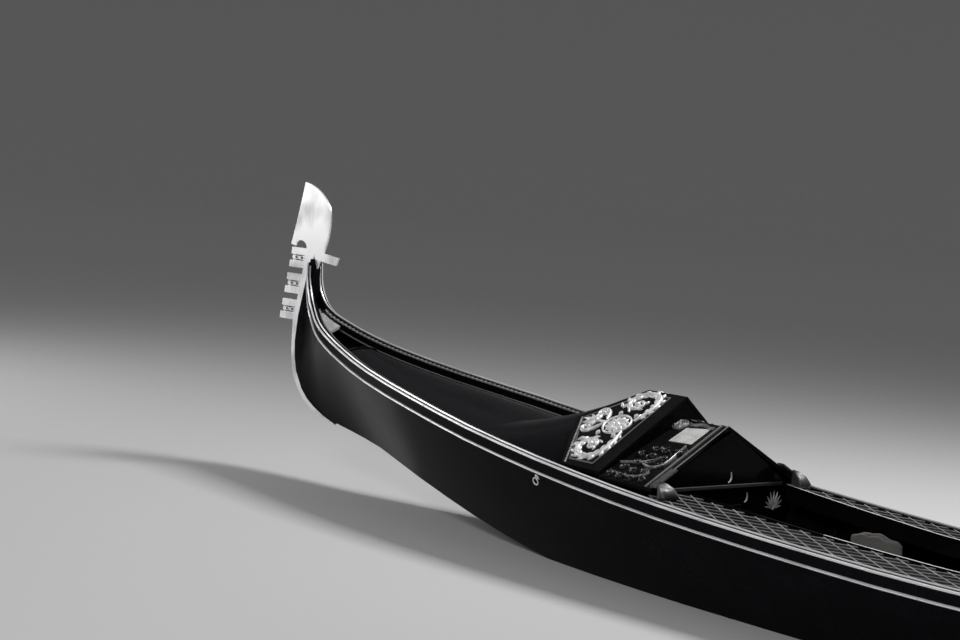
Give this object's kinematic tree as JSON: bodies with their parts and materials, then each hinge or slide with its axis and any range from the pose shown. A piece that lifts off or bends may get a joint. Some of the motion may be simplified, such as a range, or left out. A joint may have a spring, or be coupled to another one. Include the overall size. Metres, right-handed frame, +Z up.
{
  "type": "venetian gondola boat",
  "caption": "Long narrow rowing boat with a crescent hull, toothed steel bow iron, gabled carved deck hood, sunken passenger well, seats, oarlock and two doors to its lockers.",
  "frame": {"origin": "on the line from stem to stern post, amidships, at the waterline", "axes": "+X to the bow, +Y to port, +Z up"},
  "size_m": [10.798, 1.3942, 2.038],
  "materials": {
    "black_lacquer": "gloss",
    "black_wood": "satin",
    "bottom_paint": "matte",
    "polished_steel": "polished",
    "silver_carving": "satin",
    "bright_strip": "polished",
    "rope_moulding": "satin",
    "red_leather": "satin",
    "pale_cloth": "matte",
    "walnut": "satin"
  },
  "bodies": {
    "hull": {"hull_bottom_fore": "bottom_paint", "hull_bottom_mid": "bottom_paint", "hull_bottom_aft": "bottom_paint", "hull_side_port_fore": "black_lacquer", "hull_side_port_mid": "black_lacquer", "hull_side_port_aft": "black_lacquer", "hull_side_starboard_fore": "black_lacquer", "hull_side_starboard_mid": "black_lacquer", "hull_side_starboard_aft": "black_lacquer", "stem_post": "black_lacquer", "stern_post": "black_lacquer", "gunwale_port": "black_lacquer", "gunwale_starboard": "black_lacquer", "rub_strip_port": "bright_strip", "rub_strip_starboard": "bright_strip", "edge_strip_port": "bright_strip", "edge_strip_starboard": "bright_strip", "top_strip_port": "bright_strip", "top_strip_starboard": "bright_strip", "rope_moulding_upper_port": "rope_moulding", "rope_moulding_lower_port": "rope_moulding", "rope_moulding_upper_starboard": "rope_moulding", "rope_moulding_lower_starboard": "rope_moulding", "bow_iron": "polished_steel", "stern_iron": "polished_steel", "foredeck": "black_lacquer", "breasthook": "black_wood", "deck_front_beam": "black_lacquer", "deck_hood": "black_lacquer", "carved_roof_port": "silver_carving", "carved_roof_starboard": "silver_carving", "hood_riser": "black_lacquer", "hatch_roof_port": "black_lacquer", "hatch_roof_starboard": "black_lacquer", "blank_plate": "bright_strip", "fore_bulkhead": "black_lacquer", "bulkhead_rail": "bright_strip", "shell_ornament_port": "silver_carving", "shell_ornament_starboard": "silver_carving", "side_deck_port": "black_lacquer", "side_deck_starboard": "black_lacquer", "coaming_port": "bright_strip", "coaming_starboard": "bright_strip", "floorboards": "black_wood", "main_seat_frame": "black_lacquer", "main_seat_back": "black_lacquer", "main_seat_cushion": "red_leather", "side_seat_port": "black_lacquer", "side_cushion_port": "pale_cloth", "side_seat_starboard": "black_lacquer", "side_cushion_starboard": "pale_cloth", "pillow_starboard": "pale_cloth", "aft_bulkhead": "black_lacquer", "aft_deck": "black_lacquer", "standing_board": "black_wood", "oarlock_block": "black_wood", "oarlock": "walnut"},
    "fore_door": {"fore_locker_door": "black_lacquer"},
    "aft_hatch_lid": {"aft_hatch": "black_lacquer"}
  },
  "joints": [
    {"name": "fore_door_hinge", "type": "hinge", "parent": "hull", "child": "fore_door", "pos_m": [1.1361, 0.185, 0.255], "axis": [0, 0, -1], "range_deg": [0, 95]},
    {"name": "aft_hatch_hinge", "type": "hinge", "parent": "hull", "child": "aft_hatch_lid", "pos_m": [-1.765, 0.025, 0.39506], "axis": [0, 1, 0], "range_deg": [0, 90]}
  ]
}
